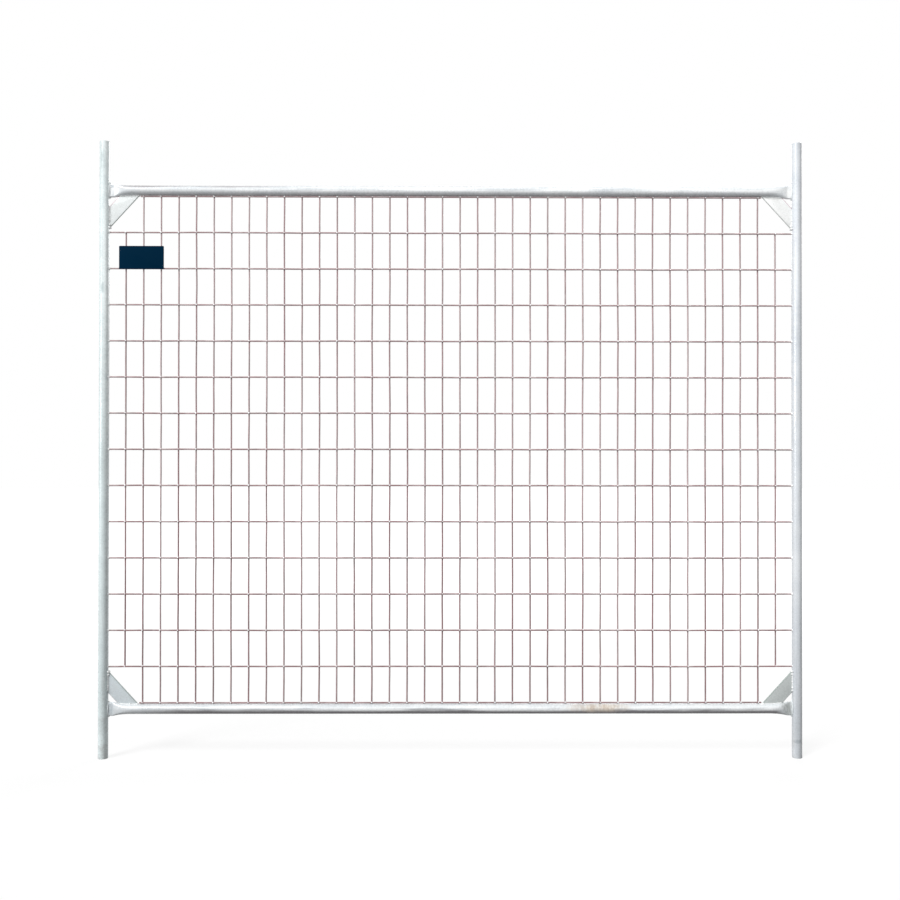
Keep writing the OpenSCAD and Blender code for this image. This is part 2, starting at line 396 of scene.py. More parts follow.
def zinc(name, kind, streak_scale, marks=(), underside_shades=(), edges=()):
    """Weathered hot-dip zinc: blotches, mottles, crystals, streaks along the steel, splash and painted
    shade low down, painted shade under the rails, marks and darker edge lines.
    """
    light, dark = ZINC[kind]
    look = Shader(name)
    blotch = look.remap(look.noise(8.0, 5.0, 0.6), 0.34, 0.66)
    mottle = look.remap(look.noise(60.0, 4.0, 0.6), 0.30, 0.70)
    crystal = look.cells(150.0)
    streak = look.remap(look.noise(1.0, 5.0, 0.62, look.stretched(streak_scale)), 0.52, 0.72)
    colour = look.mix(blotch, dark, light)
    colour = look.mix(look.remap(mottle, 0.55, 1.0, 0.0, 0.5), colour, light)
    colour = look.mix(look.remap(crystal, 0.2, 0.9, 0.0, 0.16), colour, dark)
    colour = look.mix(look.math("MULTIPLY", streak, 0.3), colour, ZINC_STAIN)
    # Darker patches low down: ground splash, and painted shade that darkens the lowest pieces
    low_down = look.remap(look.axis("Z"), 0.0, SPLASH_AND_SHADE_HEIGHT, 0.7, 0.0)
    splash_and_shade = look.math("MULTIPLY", low_down, look.remap(look.noise(38.0, 6.0, 0.7), 0.42, 0.68))
    colour = look.mix(splash_and_shade, colour, ZINC_STAIN)
    speck = look.remap(look.noise(210.0, 2.0, 0.5), 0.70, 0.76, 0.0, 0.7)
    colour = look.mix(speck, colour, ZINC_STAIN)
    # Painted shade under the rails, then marks of wear, stains and painted light and shade, then darker
    # lines along the gusset edges
    colour = painted_underside_shade(look, colour, underside_shades, streak_scale)
    colour = marked(look, colour, marks)
    colour = darker_edge_lines(look, colour, edges)
    wave = look.bump(look.noise(42.0, 3.0, 0.5), 0.35 * MM, 0.3)
    flake = look.bump(crystal, 0.12 * MM, 0.25, wave)
    grain = look.bump(look.noise(900.0, 3.0, 0.6), 0.10 * MM, 0.3, flake)
    look.set(Base_Color=colour, Metallic=0.05, Normal=grain)
    look.set(Roughness=look.remap(look.math("ADD", mottle, crystal), 0.2, 1.6, *ZINC_ROUGHNESS))
    return look.material


def wire_zinc(name, rose, pale, dark, dull, deep, light_tone_and_lit):
    """Zinc on thin wire: patches of rose, pale, dark and dull grey, painted light that lightens it high up,
    and soiled low down.

    Each vertical wire has a tone of its own too, light or deep, and the rows take it on in stretches."""
    look = Shader(name)
    patch = look.remap(look.noise(14.0, 4.0, 0.6), 0.36, 0.64)
    shade = look.remap(look.noise(65.0, 3.0, 0.6), 0.40, 0.70)
    fresh = look.remap(look.noise(34.0, 3.0, 0.55, look.stretched(FRESH_PATCHES)), 0.60, 0.70)
    tarnish = look.remap(look.noise(9.0, 3.0, 0.55, look.stretched(TARNISH_PATCHES)), 0.52, 0.64)
    colour = look.mix(patch, rose, dark)
    colour = look.mix(look.math("MULTIPLY", tarnish, 0.7), colour, dull)
    colour = look.mix(look.math("MULTIPLY", shade, 0.2), colour, pale)
    colour = look.mix(look.math("MULTIPLY", fresh, 0.6), colour, pale)
    own_tone = look.noise(1.0, 2.0, 0.5, look.stretched(WIRE_TO_WIRE))
    colour = look.mix(look.remap(own_tone, 0.50, 0.62, 0.0, 0.55), colour, light_tone_and_lit)
    colour = look.mix(look.remap(own_tone, 0.50, 0.38, 0.0, 0.6), colour, deep)
    # Painted light: the wires lighter higher up
    colour = look.mix(look.remap(look.axis("Z"), *LIT_HIGH_Z, 0.0, 0.35), colour, light_tone_and_lit)
    colour = look.mix(look.remap(look.axis("Z"), *SPLASHED_Z, 0.3, 0.0), colour, dark)
    grain = look.bump(look.noise(800.0, 3.0, 0.6), 0.12 * MM, 0.4)
    look.set(Base_Color=colour, Specular_IOR_Level=0.25, Normal=grain)
    look.set(Roughness=look.remap(shade, 0.0, 1.0, 0.40, 0.60))
    return look.material


def weld_zinc(name, light, dark):
    """Zinc over weld metal: bright and lumpy, with dark crevices and a little spatter."""
    look = Shader(name)
    lumps = look.noise(420.0, 4.0, 0.6)
    colour = look.mix(look.remap(lumps, 0.36, 0.60), dark, light)
    colour = look.mix(look.remap(look.noise(130.0, 3.0), 0.60, 0.72, 0.0, 0.6), colour, dark)
    relief = look.bump(lumps, 0.5 * MM, 0.5)
    look.set(Base_Color=colour, Metallic=0.12, Normal=relief)
    look.set(Roughness=look.remap(lumps, 0.3, 0.7, 0.30, 0.50))
    return look.material


def sign_sheet(name, face, worn):
    """Dark satin plastic with a fine moulded grain, faint smears and a worn edge."""
    look = Shader(name)
    middle = (sign_low + sign_high) / 2
    half = (sign_high - sign_low) / 2
    off_x = look.math("ABSOLUTE", look.math("SUBTRACT", look.axis("X"), middle.x), 0.0)
    off_z = look.math("ABSOLUTE", look.math("SUBTRACT", look.axis("Z"), middle.z), 0.0)
    rim_x = look.remap(off_x, half.x - SIGN_RIM, half.x)
    rim_z = look.remap(off_z, half.z - SIGN_RIM, half.z)
    chips = look.remap(look.noise(260.0, 4.0, 0.65), 0.46, 0.66)
    wear = look.math("MULTIPLY", look.math("MAXIMUM", rim_x, rim_z), chips)
    smear = look.remap(look.noise(1.0, 4.0, 0.6, look.stretched(SMEARS)), 0.40, 0.70)
    scratch = look.remap(look.noise(1.0, 2.0, 0.5, look.stretched(SCRATCHES)), 0.70, 0.76, 0.0, 0.25)
    colour = look.mix(look.math("MULTIPLY", smear, 0.006), face, worn)
    colour = look.mix(look.math("MULTIPLY", scratch, 0.08), colour, worn)
    colour = look.mix(look.math("MULTIPLY", wear, 0.5), colour, worn)
    grain = look.bump(look.noise(1500.0, 2.0, 0.5), 0.05 * MM, 0.25)
    look.set(Base_Color=colour, Roughness=look.remap(smear, 0.0, 1.0, 0.38, 0.52), Normal=grain)
    look.set(Specular_IOR_Level=0.01)
    return look.material


# Tints of the zinc, a light and a dark one for each piece, and of what lies on it. The gussets' tints are
# painted light and shade: the top ones lighter, the bottom ones darker, the bottom right one darkest; the
# left post's tint is lightened as painted light
ZINC = {
    "left_post": ((0.70, 0.78, 0.79, 1.0), (0.56, 0.64, 0.65, 1.0)),
    "right_post": ((0.66, 0.685, 0.71, 1.0), (0.54, 0.575, 0.615, 1.0)),
    "rail": ((0.72, 0.75, 0.765, 1.0), (0.58, 0.62, 0.65, 1.0)),
    "top_left_bar": ((0.755, 0.79, 0.79, 1.0), (0.705, 0.74, 0.74, 1.0)),
    "top_right_bar": ((0.87, 0.88, 0.875, 1.0), (0.80, 0.81, 0.805, 1.0)),
    "bottom_left_bar": ((0.60, 0.66, 0.68, 1.0), (0.52, 0.57, 0.60, 1.0)),
    "bottom_right_bar": ((0.49, 0.525, 0.52, 1.0), (0.42, 0.445, 0.44, 1.0)),
}
ZINC_ROUGHNESS = (0.21, 0.33)
ZINC_STAIN = (0.36, 0.36, 0.35, 1.0)
# Colour of painted light on the left post
PAINTED_LIGHT_ZINC = (0.84, 0.90, 0.90, 1.0)
# Colour of the painted highlight bands on the rails
PAINTED_HIGHLIGHT_ZINC = (0.90, 0.91, 0.91, 1.0)
# Colour of painted shade on the right post
PAINTED_SHADE_ZINC = (0.44, 0.47, 0.50, 1.0)
# Colour of the painted shade under the rails
UNDERSIDE_SHADE = (0.15, 0.14, 0.148, 1.0)
# Colour of painted shade on the top rail's top
TOP_SHADE = (0.25, 0.225, 0.24, 1.0)
CREAM = (0.62, 0.54, 0.44, 1.0)
RUST_BROWN = (0.38, 0.29, 0.22, 1.0)
SCUFF = (0.13, 0.17, 0.19, 1.0)
PALE_SCUFF = (0.38, 0.46, 0.47, 1.0)
SOOT = (0.12, 0.12, 0.12, 1.0)
BURNT_BLUE = (0.30, 0.36, 0.40, 1.0)
# Painted shade of the gussets' outer edge faces, and a darker line along their corner edges
LONG_EDGE_SHADE = (0.22, 0.27, 0.25, 1.0)
SHORT_EDGE_LINE = (0.42, 0.27, 0.31, 1.0)

# How fine streaks, patches and strokes are along each axis
ALONG_Z = (70.0, 70.0, 5.0)
ALONG_X = (5.0, 70.0, 70.0)
EVEN = (30.0, 30.0, 30.0)
FINE = (260.0, 260.0, 260.0)
SLANTED = (140.0, 40.0, 60.0)
WIRE_TO_WIRE = (23.0, 1.0, 0.8)
FRESH_PATCHES = (1.0, 1.0, 1.3)
TARNISH_PATCHES = (1.2, 1.0, 1.0)
SMEARS = (18.0, 18.0, 70.0)
SCRATCHES = (45.0, 45.0, 1400.0)

# Where splash, dirt, wear and painted light and shade lie: heights, widths, shares of the darker lines on
# the gussets' outer and inner edges, painted shade under the rails
SPLASH_AND_SHADE_HEIGHT = 0.25
# Heights between which painted light lightens the wires
LIT_HIGH_Z = (0.4, 1.9)
SPLASHED_Z = (0.2, 0.9)
MARK_CORE = 0.4
SIGN_RIM = 1.6 * MM
EDGE_LINE = 3.0 * MM
# Shares of the darker lines: painted shade on the outer edges, a darker line on the corner ones
EDGE_LINE_SHARES = {
    (-1, "top"): (0.55, 1.0),
    (1, "top"): (0.4, 0.95),
    (-1, "bottom"): (0.8, 0.3),
    (1, "bottom"): (0.8, 0.1),
}
# Painted shade under the rails: free near the posts, with a wavering upper limit, between these heights
# from each rail's axis
UNDERSIDE_SHADE_FREE = 25.0 * MM
UNDERSIDE_SHADE_SWAY = 0.16 * RAIL_R
UNDERSIDE_SHADE_UPPER = (0.35 * RAIL_R, -0.4 * RAIL_R)
UNDERSIDE_SHADE_LOWER = (-1.8 * RAIL_R, -1.6 * RAIL_R)
SHADED_RAIL_UNDERSIDES = [(RAIL_Z["bottom"], 0.95, 0.26, 0.06), (RAIL_Z["top"], 0.2, 0.08, 0.08)]

# Marks on the posts, each a place and how far it reaches along each axis
KNOCK = ((POST_X, -POST_R, 58.0 * MM), (1.1 * POST_R, 1.2 * POST_R, 9.0 * MM))
BURNT_END = ((-POST_X, -POST_R, 0.0), (1.6 * POST_R, 1.6 * POST_R, 8.0 * MM))
# Painted shade on the lower part of the right post
SHADED_STRETCH = ((POST_X, -POST_R, 0.2), (2.0 * POST_R, 2.0 * POST_R, 0.42))
# Painted light on the right side of the left post's upper part
LIT_STRETCH = ((POST_R - POST_X, -0.4 * POST_R, 2.0), (1.7 * POST_R, 2.0 * POST_R, 1.3))
STUB_SCUFF = ((-POST_X, -POST_R, 2.035), (0.7 * POST_R, POST_R, 45.0 * MM))
LOWER_SCUFF = ((-POST_X, -POST_R, 1.6), (0.6 * POST_R, POST_R, 22.0 * MM))
post_marks = [
    (*KNOCK, EVEN, SCUFF, 0.9),
    (*KNOCK, SLANTED, SCUFF, 0.6),
    (*BURNT_END, EVEN, SOOT, 0.9),
    (*SHADED_STRETCH, ALONG_Z, PAINTED_SHADE_ZINC, 0.6),
    (*LIT_STRETCH, ALONG_Z, PAINTED_LIGHT_ZINC, 0.7),
    (*LIT_STRETCH, EVEN, PAINTED_LIGHT_ZINC, 0.7),
    (*STUB_SCUFF, ALONG_Z, PALE_SCUFF, 0.8),
    (*LOWER_SCUFF, EVEN, PALE_SCUFF, 0.8),
]

# Marks on the rails: painted highlight bands, a drip, painted shade on the top rail's top, painted light
# and shade on the pressed ends, and a weld burn
# Painted highlight bands along the front of both rails
HIGHLIGHT_BAND_X = 0.25
HIGHLIGHT_BAND_REACH = (2.2, 1.2 * RAIL_R, 0.85 * RAIL_R)
HIGHLIGHT_BANDS = {"top": (0.2 * RAIL_R, 0.7), "bottom": (0.4 * RAIL_R, 0.55)}
DRIP = ((0.50, -0.6 * RAIL_R, RAIL_Z["bottom"] + 0.3 * RAIL_R), (0.13, 1.2 * RAIL_R, 1.1 * RAIL_R))
# Painted shade along the top of the top rail, darker than its front
SHADED_TOP = ((-0.92, -0.3 * RAIL_R, RAIL_Z["top"] + RAIL_R), (0.5, 1.8 * RAIL_R, 1.05 * RAIL_R))
WELD_BURN = (
    (-INNER_X + 9.0 * MM, -CRUSH_HALF_T, RAIL_Z["top"] + 13.0 * MM),
    (12.0 * MM, 12.0 * MM, 8.0 * MM),
)
# Painted light and shade on the pressed ends: the top ones lighter, the bottom ones darker, the bottom
# right one darkest
FLAT_LIGHT_AND_SHADE = {
    (-1, "top"): ((0.86, 0.88, 0.89, 1.0), 0.95, 60.0 * MM),
    (1, "top"): ((0.88, 0.89, 0.885, 1.0), 0.85, 38.0 * MM),
    (-1, "bottom"): ((0.42, 0.47, 0.50, 1.0), 0.9, 30.0 * MM),
    (1, "bottom"): ((0.30, 0.32, 0.31, 1.0), 0.9, 60.0 * MM),
}
rail_marks = []
for level, (rise, share) in HIGHLIGHT_BANDS.items():
    band = (HIGHLIGHT_BAND_X, -RAIL_R, RAIL_Z[level] + rise)
    rail_marks.append((band, HIGHLIGHT_BAND_REACH, ALONG_X, PAINTED_HIGHLIGHT_ZINC, share))
rail_marks += [
    (*DRIP, EVEN, CREAM, 0.7),
    (*DRIP, SLANTED, RUST_BROWN, 0.6),
    (*SHADED_TOP, ALONG_X, TOP_SHADE, 0.85),
]
for (side, level), (tint, share, reach_x) in FLAT_LIGHT_AND_SHADE.items():
    pressed = (side * INNER_X, -CRUSH_HALF_T, RAIL_Z[level])
    for strokes in (EVEN, SLANTED):
        rail_marks.append((pressed, (reach_x, RAIL_R, 2.0 * RAIL_R), strokes, tint, share))
rail_marks.append((*WELD_BURN, FINE, BURNT_BLUE, 0.8))

# One material for each post, for the rails, the mesh, the welds and the sign
post_zinc = {}
for side in ("left", "right"):
    post_zinc[side] = zinc(f"zinc_{side}_post", f"{side}_post", ALONG_Z, post_marks)
rail_zinc = zinc("zinc_rail", "rail", ALONG_X, rail_marks, SHADED_RAIL_UNDERSIDES)
mesh_zinc = wire_zinc(
    "zinc_wire",
    rose=(0.37, 0.215, 0.223, 1.0),
    pale=(0.48, 0.42, 0.425, 1.0),
    dark=(0.21, 0.135, 0.14, 1.0),
    dull=(0.245, 0.225, 0.215, 1.0),
    deep=(0.25, 0.125, 0.135, 1.0),
    light_tone_and_lit=(0.52, 0.42, 0.425, 1.0),
)
bead_zinc = weld_zinc("zinc_weld", light=(0.90, 0.91, 0.91, 1.0), dark=(0.62, 0.64, 0.64, 1.0))
drop_zinc = weld_zinc("zinc_drop", light=(0.90, 0.91, 0.91, 1.0), dark=(0.74, 0.75, 0.76, 1.0))
fillet_zinc = weld_zinc("zinc_fillet", light=(0.70, 0.73, 0.74, 1.0), dark=(0.55, 0.59, 0.60, 1.0))
sign_satin = sign_sheet("sign_satin", face=(0.0002, 0.016, 0.040, 1.0), worn=(0.05, 0.08, 0.11, 1.0))


# Posts: plain tubes, open at both ends, with rounded rims


def arc(centre_r, centre_z, radius, start_deg, end_deg, steps=4):
    """Points of an arc in the (radius, height) plane of a turned profile."""
    turns = [math.radians(start_deg + (end_deg - start_deg) * i / steps) for i in range(steps + 1)]
    return [(centre_r + radius * math.cos(t), centre_z + radius * math.sin(t)) for t in turns]


def post(name, axis_x, material, sides=64):
    """A turned tube: the outline of its wall, once round the post's axis."""
    bore = POST_R - TUBE_WALL
    near = RIM_ROUND
    far = PANEL_H - RIM_ROUND
    profile = arc(POST_R - RIM_ROUND, near, RIM_ROUND, -90, 0)
    profile += arc(POST_R - RIM_ROUND, far, RIM_ROUND, 0, 90)
    profile += arc(bore + RIM_ROUND, far, RIM_ROUND, 90, 180)
    profile += arc(bore + RIM_ROUND, near, RIM_ROUND, 180, 270)
    outlines = []
    for i in range(sides):
        turn = 2 * math.pi * i / sides
        out_x = math.cos(turn)
        out_y = math.sin(turn)
        outlines.append([Vector((axis_x + r * out_x, r * out_y, z)) for r, z in profile])
    shape = Shape()
    shape.loft(outlines, closed=True)
    make_piece(name + "_tube", shape, material, [name])


post("left_post", -POST_X, post_zinc["left"])
post("right_post", POST_X, post_zinc["right"])


# Rails: round tubes pressed flat towards the posts


def crushed(u):
    """The rail's half thickness and half the length of its flats, a distance u from the post."""
    along = min(1.0, max(0.0, (u - CRUSH_FLAT) / CRUSH_TAPER))
    roundness = 1 - (1 - along) ** CRUSH_SWELL
    half_t = CRUSH_HALF_T + (RAIL_R - CRUSH_HALF_T) * roundness
    half_flat = (RAIL_R - half_t) * math.pi / 2
    return half_t, half_flat


def crushed_height(u):
    """Half of the rail's whole height at a distance from the post's inner face."""
    half_t, half_flat = crushed(u)
    return half_t + half_flat


def post_cope(y, clearance=FIT_GAP):
    """How far behind the post's inner face a piece may reach at a depth y and still clear the tube."""
    return POST_R - math.sqrt(max(0.0, (POST_R + clearance) ** 2 - y * y))


def rail_outline(side, u, rail_z, end=False, sides=56):
    """The rail's section at a distance from one post, cut to the post's round at its very end."""
    half_t, half_flat = crushed(u)
    points = []
    for i in range(sides):
        turn = 2 * math.pi * (i + 0.5) / sides
        y = half_t * math.cos(turn)
        z = half_t * math.sin(turn) + math.copysign(half_flat, math.sin(turn))
        reach = u - post_cope(y) if end else u
        points.append(Vector((side * (INNER_X - reach), y, rail_z + z)))
    return points


def rail(name, rail_z, flat_steps=4, taper_steps=26, bays=24):
    """A rail from the left post to the right one: flat, taper, round tube, taper, flat."""
    straight = CRUSH_FLAT + CRUSH_TAPER
    places = [CRUSH_FLAT * i / flat_steps for i in range(flat_steps)]
    places += [CRUSH_FLAT + CRUSH_TAPER * i / taper_steps for i in range(taper_steps + 1)]
    outlines = [rail_outline(-1, u, rail_z, u == 0) for u in places]
    span = 2 * (INNER_X - straight)
    outlines += [rail_outline(-1, straight + span * i / bays, rail_z) for i in range(1, bays)]
    outlines += [rail_outline(1, u, rail_z, u == 0) for u in reversed(places)]
    shape = Shape()
    shape.loft(outlines)
    make_piece(name + "_tube", shape, rail_zinc, [name])


for level, rail_z in RAIL_Z.items():
    rail(level + "_rail", rail_z)


# Gussets: flat bar cut to the post and to the rail


def corner(side, level):
    """Gives a function that puts (distance from post, depth, height from rail) into one corner."""
    up = 1 if level == "bottom" else -1
    return lambda u, y, h: Vector((side * (INNER_X - u), y, RAIL_Z[level] + up * h))


def long_edge(u):
    """Height above the rail's axis of the gusset's edge that faces the mesh."""
    return RAIL_R + GUSSET_POST_REACH * (1 - u / GUSSET_RAIL_REACH)


def short_edge(u):
    """Height above the rail's axis of the gusset's edge that faces the corner."""
    slope = GUSSET_POST_REACH / GUSSET_RAIL_REACH
    return long_edge(u) - GUSSET_BAR * math.hypot(1, slope)


def rail_line(u):
    """Height at which a gusset meets the rail."""
    return crushed_height(u) + FIT_GAP


def first_where(test, low, high, steps=400):
    """The first place from low to high where a test comes true."""
    places = (low + (high - low) * i / steps for i in range(steps + 1))
    return next(u for u in places if test(u))


SHORT_FOOT = first_where(lambda u: short_edge(u) <= rail_line(u), 0.0, GUSSET_RAIL_REACH)
LONG_FOOT = first_where(lambda u: long_edge(u) <= rail_line(u), 0.0, GUSSET_RAIL_REACH)


def gusset_outline(foot_steps=12):
    """Along the post, then along the rail from the corner outwards."""
    near = FIT_GAP
    outline = [(near, long_edge(near)), (near, short_edge(near))]
    for i in range(foot_steps + 1):
        u = SHORT_FOOT + (LONG_FOOT - SHORT_FOOT) * i / foot_steps
        outline.append((u, rail_line(u)))
    return outline


def gusset_edge_lines(side, level):
    """Darker lines along the two long edges of a gusset: first the outer one, painted shade of its edge
    face, then a line along the one at the corner.
    """
    place = corner(side, level)
    outer = place(0.0, 0.0, long_edge(0.0))
    inner = place(0.0, 0.0, short_edge(0.0))
    along = (place(GUSSET_RAIL_REACH, 0.0, RAIL_R) - outer).normalized()
    across = inner - outer
    inward = (across - along * across.dot(along)).normalized()
    outer_share, inner_share = EDGE_LINE_SHARES[side, level]
    return [
        (inward, inward.dot(outer), LONG_EDGE_SHADE, outer_share),
        (-inward, -inward.dot(inner), SHORT_EDGE_LINE, inner_share),
    ]


CORNERS = [(side, level) for level in ("top", "bottom") for side in (-1, 1)]
SIDE_NAME = {-1: "left", 1: "right"}

for side, level in CORNERS:
    name = f"{level}_{SIDE_NAME[side]}"
    gusset = Shape()
    gusset.plate(gusset_outline(), corner(side, level), GUSSET_T)
    node = name + "_gusset"
    kind = name + "_bar"
    bar_zinc = zinc("zinc_" + kind, kind, EVEN, edges=gusset_edge_lines(side, level))
    make_piece(node + "_bar", gusset, bar_zinc, [node], bevel=EDGE_ROUND)


# Weld beads: rippled runs round the rail ends and along both faces of the gussets


def bead(shape, path, radius, closed=False, sides=10, lump_every=0.0):
    """A hand-laid weld run: ripples, an uneven width, lumps and, on an open run, tapering ends."""
    seed = dice.uniform(*SEED_SPAN)
    length = 0.0
    radii = []
    total = sum((b - a).length for a, b in zip(path, path[1:]))
    for i, point in enumerate(path):
        length += (point - path[i - 1]).length if i else 0.0
        ripple = abs(math.sin(math.pi * length / BEAD_PITCH))
        uneven = noise.noise(Vector((length * BEAD_UNEVEN_PER_M, seed, 0.0)))
        to_end = min(length, total - length)
        fade = 1.0 if closed else ease(to_end / (BEAD_FADE * radius) + BEAD_BLUNT)
        radii.append(radius * (BEAD_LEAST + BEAD_RIPPLE * ripple + BEAD_UNEVEN * uneven) * fade)
    shape.sweep(path, radii, sides, closed)
    at = 0.0
    while lump_every and at < total:
        point = path[min(int(at / BEAD_STEP), len(path) - 1)]
        shape.lump(point, Vector((1, 1, 1)) * RUN_LUMP_R * dice.uniform(*RUN_LUMP_SPREAD))
        at += lump_every * dice.uniform(*RUN_GAP_SPREAD)


def rail_end_path(place, steps=96):
    """Once round the crushed end, in the notch between the flat tube and the post."""
    half_t, half_flat = crushed(0.0)
    offset = END_BEAD_R - BEAD_SINK
    radius = half_t + offset
    path = []
    for i in range(steps):
        turn = 2 * math.pi * i / steps
        rise = math.sin(turn)
        y = radius * math.cos(turn)
        z = radius * rise + half_flat * rise * (END_BEAD_SQUARE + (1 - END_BEAD_SQUARE) * abs(rise))
        u = math.sqrt((POST_R + offset) ** 2 - y * y) - POST_R
        path.append(place(u, y, z))
    return path


def post_run_path(place, depth):
    """Down the post, along one face of a gusset."""
    u = math.sqrt((POST_R + RUN_OFFSET) ** 2 - depth * depth) - POST_R
    top = long_edge(0.0) - RUN_LUMP_R
    low = short_edge(0.0) + RUN_LUMP_R
    count = int((top - low) / BEAD_STEP)
    return [place(u, depth, top + (low - top) * i / count) for i in range(count + 1)]


def rail_run_path(place, depth):
    """Along the rail, on one face of a gusset, from its outer end towards the corner."""
    start = LONG_FOOT - RUN_LUMP_R
    end = SHORT_FOOT + RUN_LUMP_R
    count = int((start - end) / BEAD_STEP)
    path = []
    for i in range(count + 1):
        u = start + (end - start) * i / count
        half_t, half_flat = crushed(u)
        rise = math.sqrt(max(0.0, (half_t + RUN_OFFSET) ** 2 - depth * depth))
        path.append(place(u, depth, half_flat + rise))
    return path


rail_beads = Shape()
gusset_beads = Shape()
for side, level in CORNERS:
    place = corner(side, level)
    bead(rail_beads, rail_end_path(place), END_BEAD_R, closed=True)
    for end in (-1, 1):
        rail_beads.lump(place(END_LUMP_OUT, 0.0, end * crushed_height(0.0)), END_LUMP)
    for face in (-1, 1):
        depth = face * (GUSSET_T / 2 + RUN_OFFSET)
        post_run = post_run_path(place, depth)
        bead(gusset_beads, post_run, RUN_BEAD_R, lump_every=POST_RUN_GAP)
        bead(gusset_beads, rail_run_path(place, depth), RUN_BEAD_R, lump_every=RAIL_RUN_GAP)
        for down, swell in TIP_LUMPS:
            proud = Vector((-side * TIP_PROUD, face * TIP_PROUD, 0.0))
            drop = post_run[int(down / BEAD_STEP)] + proud
            gusset_beads.lump(drop, TIP_LUMP * swell)
make_piece("rail_weld_beads", rail_beads, fillet_zinc, ["rail_welds"], sharp_deg=60)
make_piece("gusset_weld_beads", gusset_beads, bead_zinc, ["gusset_welds"], sharp_deg=60)


# Mesh: wires that wander a little, spot welded where they cross and tacked to the frame


def hold(x, z):
    """0 where the frame or the sign holds the mesh in place, 1 well away from them."""
    to_post = INNER_X - abs(x)
    to_rail = min(z - RAIL_Z["bottom"], RAIL_Z["top"] - z) - RAIL_R
    off_sign_x = max(sign_low.x - x, x - sign_high.x, 0.0)
    off_sign_z = max(sign_low.z - z, z - sign_high.z, 0.0)
    nearest = min(to_post, to_rail, math.hypot(off_sign_x, off_sign_z))
    return ease(nearest / SWAY_FADE)


def mesh_point(x, y, z, seed):
    """Where a point of the straight mesh ends up: the sheet's own bends and a slight bow of each wire."""
    bend = noise.noise_vector(Vector((x, 0.0, z)) * SWAY_PER_M)
    bow = noise.noise_vector(Vector((x, seed, z)) * BOW_PER_M)
    offset = Vector((a * b for a, b in zip(bend, SWAY))) + Vector((bow.x, 0.0, bow.z)) * BOW
    return Vector((x, y, z)) + offset * hold(x, z)


def wire(shape, start, end, seed, sides=12):
    """One wire, a little thick and thin with zinc, with rounded ends."""
    count = max(2, int((end - start).length / WIRE_STEP))
    path = []
    radii = []
    for i in range(count + 1):
        p = start.lerp(end, i / count)
        path.append(mesh_point(p.x, p.y, p.z, seed))
        uneven = noise.noise(Vector((p.x, seed * SEED_STEP, p.z)) * ZINC_UNEVEN_PER_M)
        radii.append(ZINC_COAT + WIRE_R * (1 + ZINC_UNEVEN * uneven))
    for tip, inward in ((0, 1), (-1, -2)):
        shoulder = path[tip].lerp(path[inward], WIRE_TIP_SHOULDER)
        path.insert(1 if tip == 0 else len(path) - 1, shoulder)
        radii.insert(1 if tip == 0 else len(radii) - 1, radii[tip])
        radii[tip] *= WIRE_TIP_TAPER
    shape.sweep(path, radii, sides)


def row_line(low, high):
    """Both ends of the centre line of a straight row that fills a box."""
    middle = (low + high) / 2
    return Vector((low.x, middle.y, middle.z)), Vector((high.x, middle.y, middle.z))


rows = []
for i in range(1, ROWS + 1):
    node = f"horizontal_wire_{i:02d}"
    start, end = row_line(*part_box(node))
    strand = Shape()
    wire(strand, start, end, seed=i)
    make_piece(node + "_strand", strand, mesh_zinc, [node])
    rows.append((start, end))

columns = []
for i in range(1, PAIRS + 1):
    node = f"vertical_wire_pair_{i:02d}"
    low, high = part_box(node)
    strands = Shape()
    for x, first_seed in ((low.x + WIRE_R, LEFT_WIRE_SEED), (high.x - WIRE_R, RIGHT_WIRE_SEED)):
        start = Vector((x, (low.y + high.y) / 2, low.z))
        end = Vector((x, start.y, high.z))
        wire(strands, start, end, seed=first_seed + i)
        columns.append((start, end))
    make_piece(node + "_strands", strands, mesh_zinc, [node])

spots = Shape()
for row_start, row_end in rows:
    for foot, head in columns:
        crosses = row_start.x <= foot.x <= row_end.x and foot.z <= row_start.z <= head.z
        if crosses:
            centre = mesh_point(foot.x, 0.0, row_start.z, 0.0)
            spots.lump(centre, NUGGET * dice.uniform(*NUGGET_SPREAD))
            front = Vector((0.0, min(foot.y, row_start.y), 0.0))
            spots.lump(centre + front + DROP_PLACE, DROP * dice.uniform(*DROP_SPREAD))
make_piece("mesh_spot_welds", spots, drop_zinc)

tacks = Shape()
for start, end in rows:
    for tip in (start, end):
        on_post = INNER_X - abs(tip.x) < TOUCH
        if on_post:
            seat = Vector((math.copysign(INNER_X, tip.x), tip.y, tip.z))
            tacks.lump(seat, TACK * dice.uniform(*TACK_SPREAD))
for foot, head in columns:
    for tip, rail_z in ((foot, RAIL_Z["bottom"]), (head, RAIL_Z["top"])):
        on_rail = abs(tip.z - rail_z) - RAIL_R < TOUCH
        if on_rail:
            tacks.lump(tip, TACK * dice.uniform(*TACK_SPREAD))
make_piece("wire_end_tacks", tacks, bead_zinc)


# Sign: a bare plate with rounded corners and six clips on its back


def rounded_rectangle(low_x, low_z, high_x, high_z, radius, steps=6):
    """The outline of a rectangle with round corners."""
    centres = [(high_x - radius, high_z - radius, 0), (low_x + radius, high_z - radius, 90)]
    centres += [(low_x + radius, low_z + radius, 180), (high_x - radius, low_z + radius, 270)]
    return [point for x, z, start in centres for point in arc(x, z, radius, start, start + 90, steps)]


def clip_outline(stem, steps=14):
    """A C-shaped grip round a wire, open to the back, on a stem that reaches the plate."""
    inner = WIRE_R + FIT_GAP
    outer = inner + CLIP_WALL
    gap_out = math.degrees(math.asin(CLIP_MOUTH / 2 / outer))
    gap_in = math.degrees(math.asin(CLIP_MOUTH / 2 / inner))
    outline = [(outer, -stem)]
    outline += arc(0, 0, outer, 0, 90 - gap_out, steps)
    outline += arc(0, 0, inner, 90 - gap_in, -270 + gap_in, 2 * steps)
    outline += arc(0, 0, outer, 90 + gap_out, 180, steps)
    outline.append((-outer, -stem))
    return outline


